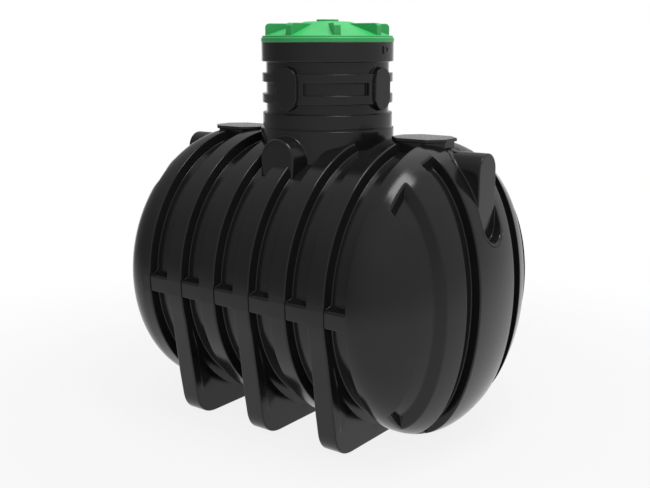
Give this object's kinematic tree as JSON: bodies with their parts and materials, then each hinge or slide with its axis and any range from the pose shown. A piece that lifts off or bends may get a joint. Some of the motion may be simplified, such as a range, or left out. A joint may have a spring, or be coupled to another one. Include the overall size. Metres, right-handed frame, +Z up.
{
  "type": "underground septic tank",
  "caption": "Ribbed horizontal septic tank on saddle feet, with domed ends, pipe port bosses, a round access riser and a ribbed lift-off lid.",
  "frame": {"origin": "on the floor, below the riser's axis and the middle of the barrel", "axes": "+X along the barrel, -Y towards one long side, +Z up"},
  "size_m": [1.806, 1.296, 1.8093],
  "materials": {
    "black_shell": "smooth glossy black polyethylene",
    "green_lid": "smooth satin green polyethylene"
  },
  "bodies": {
    "tank": {"band_1": "black_shell", "band_2": "black_shell", "band_3": "black_shell", "band_4": "black_shell", "band_5": "black_shell", "groove_1": "black_shell", "groove_2": "black_shell", "groove_3": "black_shell", "groove_4": "black_shell", "groove_5": "black_shell", "groove_6": "black_shell", "bridges_front": "black_shell", "bridges_back": "black_shell", "end_dome_left": "black_shell", "end_dome_right": "black_shell", "foot_1": "black_shell", "foot_2": "black_shell", "foot_3": "black_shell", "end_port_left": "black_shell", "end_port_right": "black_shell", "side_port_front": "black_shell", "side_port_back": "black_shell", "pad_left": "black_shell", "pad_right": "black_shell", "neck": "black_shell", "riser_wall": "black_shell", "riser_bottom_collar": "black_shell", "riser_lower_ring": "black_shell", "riser_upper_ring": "black_shell", "riser_top_collar": "black_shell", "riser_port_front": "black_shell", "riser_port_right": "black_shell", "riser_port_back": "black_shell", "riser_port_left": "black_shell", "riser_side_blocks": "black_shell", "lock_tab": "black_shell"},
    "lid": {"lid_rim": "green_lid", "lid_cone": "green_lid", "lid_hub": "green_lid", "lid_ribs": "green_lid"}
  },
  "joints": [
    {"name": "lid_lift", "type": "slide", "parent": "tank", "child": "lid", "axis": [0, 0, 1], "range_m": [0, 0.3]}
  ]
}
